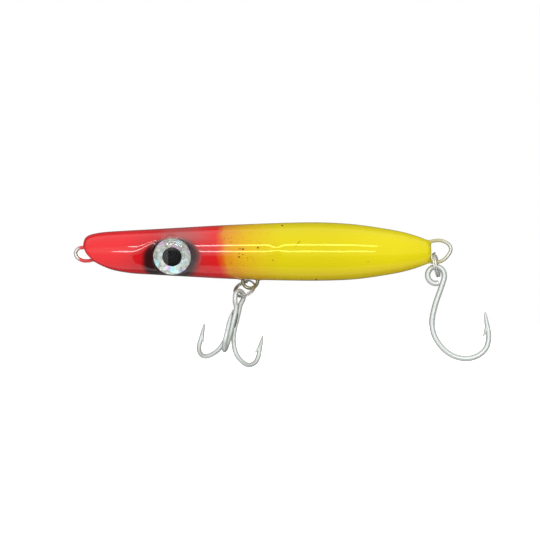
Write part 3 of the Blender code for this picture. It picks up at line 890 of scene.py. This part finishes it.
def make_treble(metal):
    across = Vector((math.cos(TREBLE_EYE_TURN), math.sin(TREBLE_EYE_TURN), 0))
    eye = [across * x + Vector((0, 0, z)) for x, z in arc((0, 0), TREBLE_EYE, 180, 0, 8)]
    near_leg = [-across * r - Vector((0, 0, d)) for r, d in EYE_LEG]
    far_leg = [across * r - Vector((0, 0, d)) for r, d in EYE_LEG]
    near = [radial(r, d, 0) for r, d in TREBLE_BEND]
    far = [radial(r, d, THIRD) for r, d in TREBLE_BEND]
    path = smooth([*reversed(near), *reversed(near_leg), *eye, *far_leg, *far], 10)
    radii = [min(a, b) for a, b in zip(point_radii(path, TREBLE_WIRE / 2, TREBLE_TAPER),
                                       point_radii(path, TREBLE_WIRE / 2, TREBLE_TAPER, at_end=False))]
    points, faces = joined(tube(path, radii), treble_barb(0), treble_barb(THIRD))
    add_piece("treble_double_hook_finish", (in_treble(points), faces), metal, "treble", "hook_steel",
              "treble_double_hook")
    path = hook_bend(-THIRD)
    radii = point_radii(path, TREBLE_WIRE / 2, TREBLE_TAPER)
    for step, share in enumerate((0.35, 0.6, 0.78, 0.9, 0.97)):
        radii[step] *= share  # its upper end is ground down to lie against the others
    points, faces = joined(tube(path, radii), treble_barb(-THIRD))
    add_piece("treble_third_hook_finish", (in_treble(points), faces), metal, "treble", "hook_steel",
              "treble_third_hook")
    low = -BRAZE_TOP - BRAZE_LENGTH
    top_end = [(0, 0), (0.6, 0.1), (1.1, 0.5), (1.45, 1.3), (1.5, 3.0)]
    low_end = [(1.5, 3.0), (1.42, 1.2), (1.05, 0.4), (0.5, 0.1), (0, 0)]
    profile = [(r, -BRAZE_TOP - down) for r, down in top_end] + [(r, low + up) for r, up in low_end]
    points, faces = lathe(profile, 36)
    filler = steel("braze_metal", (0.30, 0.32, 0.30), 0.5)
    add_piece("treble_braze_finish", (in_treble(points), faces), filler, "treble", "braze", "treble_braze")


def make_single_hook(metal):
    eye = arc((0, 0), SINGLE_EYE, 288, 5, 22)
    path = [Vector(SINGLE_PLACE) + p for p in in_plane(smooth([*eye, *SINGLE_BEND], 6))]
    barb = [Vector(SINGLE_PLACE) + p for p in in_plane(SINGLE_BARB)]
    radii = point_radii(path, SINGLE_WIRE / 2, SINGLE_TAPER)
    shape = joined(tube(path, radii), spur(barb, SINGLE_WIRE * BARB_SHARE))
    add_piece("single_hook_finish", shape, metal, "tail_hook", "hook_steel", "single_hook")


# Light, floor and camera


def make_world():
    """A white tent round the lure, brighter near the strips on the left, with a dark gap low on the right.
    It is dark behind. The camera sees white.
    """
    world = bpy.data.worlds.new("studio")
    bpy.context.scene.world = world
    world.use_nodes = True
    shade = Shader(world.node_tree)
    way = shade.node("TexCoord").outputs["Generated"]
    x, y, z = shade.split(way)[:3]
    front = shade.times(y, -1.0)
    up = shade.times(shade.math("ARCTAN2", z, front), 180 / math.pi)
    level = shade.step(up, -180.0, 180.0, smooth=False)

    def at(degrees):
        return (degrees + 180) / 360

    grey = [(at(a), (v, v, v)) for a, v in (
        (-180, 0.10), (-113, 0.12), (-101, 0.75), (-66, 0.8), (-22, 0.95), (30, 0.95), (60, 1.0), (100, 1.0),
        (114, 0.12), (180, 0.10))]
    tent = shade.ramp(level, grey)
    in_gap = shade.times(shade.step(up, -67.0, -61.0), shade.step(up, -13.0, -21.0))
    flat = shade.length(y, z)
    sideways = shade.math("ARCTAN2", x, flat)
    right = shade.step(sideways, math.radians(-9.45), math.radians(-9.05))
    gap = shade.times(in_gap, right)
    tent = shade.mix(gap, tent, colour(0.03, 0.03, 0.03))
    near_strips = shade.step(shade.math("ABSOLUTE", shade.minus(up, 8.0)), 28.0, 4.0)
    spill = shade.times(near_strips, shade.step(sideways, math.radians(-6.5), math.radians(-10)))
    tent = shade.mix(spill, tent, colour(1.5, 1.5, 1.5))
    aside = shade.step(shade.math("ABSOLUTE", sideways), math.radians(35), math.radians(75))
    tent = shade.mix(shade.times(aside, 0.35), tent, colour(0.1, 0.1, 0.1))
    seen = shade.node("LightPath").outputs["Is Camera Ray"]
    background = world.node_tree.nodes["Background"]
    shade.put(background, "Color", shade.mix(seen, tent, colour(1.0, 1.0, 1.0)))
    background.inputs["Strength"].default_value = 1.0


def area_light(name, place, size, power, glossy=True):
    """A rectangular lamp that faces the middle of the lure. Its long side lies along the lure."""
    lamp = bpy.data.lights.new(name, "AREA")
    lamp.shape = "RECTANGLE"
    lamp.size, lamp.size_y = size[0] * MM, size[1] * MM
    lamp.energy = power
    obj = bpy.data.objects.new(name, lamp)
    obj.location = Vector(place) * MM
    aim = Vector((place[0], 0, 0)) * MM - obj.location
    obj.rotation_euler = aim.to_track_quat("-Z", "Y").to_euler()
    obj.visible_glossy = glossy
    bpy.context.scene.collection.objects.link(obj)


def make_lights():
    for name, degrees, left in (("upper_strip", 27.0, -160), ("lower_strip", 1.2, -195)):
        lean = math.radians(degrees)
        middle = (left + STRIP_RIGHT) / 2
        place = (middle, -STRIP_REACH * math.cos(lean), STRIP_REACH * math.sin(lean))
        area_light(name, place, (STRIP_RIGHT - left, STRIP_HEIGHT), STRIP_POWER)
    for name, place, size, power in (
        ("back_fill", (80, 900, 450), (900, 500), 3.6),
        ("top_fill", (80, 200, 900), (1200, 500), 1.7),
        ("front_fill", (80, -800, -450), (1200, 700), 1.75),
        ("under_fill", (80, -250, -800), (1200, 500), 1.5),
    ):
        area_light(name, place, size, power, glossy=False)


def make_floor():
    """A pale, evenly lit floor, which only the camera sees, so that the paint reflects the tent."""
    work = bmesh.new()
    bmesh.ops.create_grid(work, x_segments=8, y_segments=8, size=6.0)
    mesh = bpy.data.meshes.new("floor")
    work.to_mesh(mesh)
    work.free()
    material = bpy.data.materials.new("floor_white")
    material.use_nodes = True
    principled = material.node_tree.nodes["Principled BSDF"]
    principled.inputs["Base Color"].default_value = colour(0.95, 0.95, 0.95)
    principled.inputs["Emission Color"].default_value = colour(1.0, 1.0, 1.0)
    principled.inputs["Emission Strength"].default_value = 1.0
    principled.inputs["Roughness"].default_value = 0.9
    mesh.materials.append(material)
    floor = bpy.data.objects.new("floor", mesh)
    floor.location = (0, 0, FLOOR_Z)
    for way in ("diffuse", "glossy", "transmission", "shadow"):
        setattr(floor, f"visible_{way}", False)
    bpy.context.scene.collection.objects.link(floor)


def make_camera():
    camera = bpy.data.cameras.new("camera")
    camera.lens = 100
    camera.sensor_width = 36
    camera.clip_start = 0.01
    camera.clip_end = 60
    obj = bpy.data.objects.new("camera", camera)
    obj.location = (CAMERA_AIM + MOVE + Vector((0, -CAMERA_DISTANCE, 0))) * MM
    obj.rotation_euler = (math.radians(90), 0, 0)
    bpy.context.scene.collection.objects.link(obj)
    bpy.context.scene.camera = obj


bpy.context.scene.view_settings.view_transform = "Standard"

make_body()
make_eyes()
make_frame_wires()
make_rings()
HOOK_METAL = steel("hook_tin", (0.53, 0.56, 0.54), 0.5, grain=0.06, metallic=0.6)
make_treble(HOOK_METAL)
make_single_hook(HOOK_METAL)
LEAD = cast_lead()
for node in ("nose_ballast", "belly_ballast", "tail_ballast"):
    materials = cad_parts[node].data.materials
    materials.clear()
    materials.append(LEAD)
make_world()
make_lights()
make_floor()
make_camera()
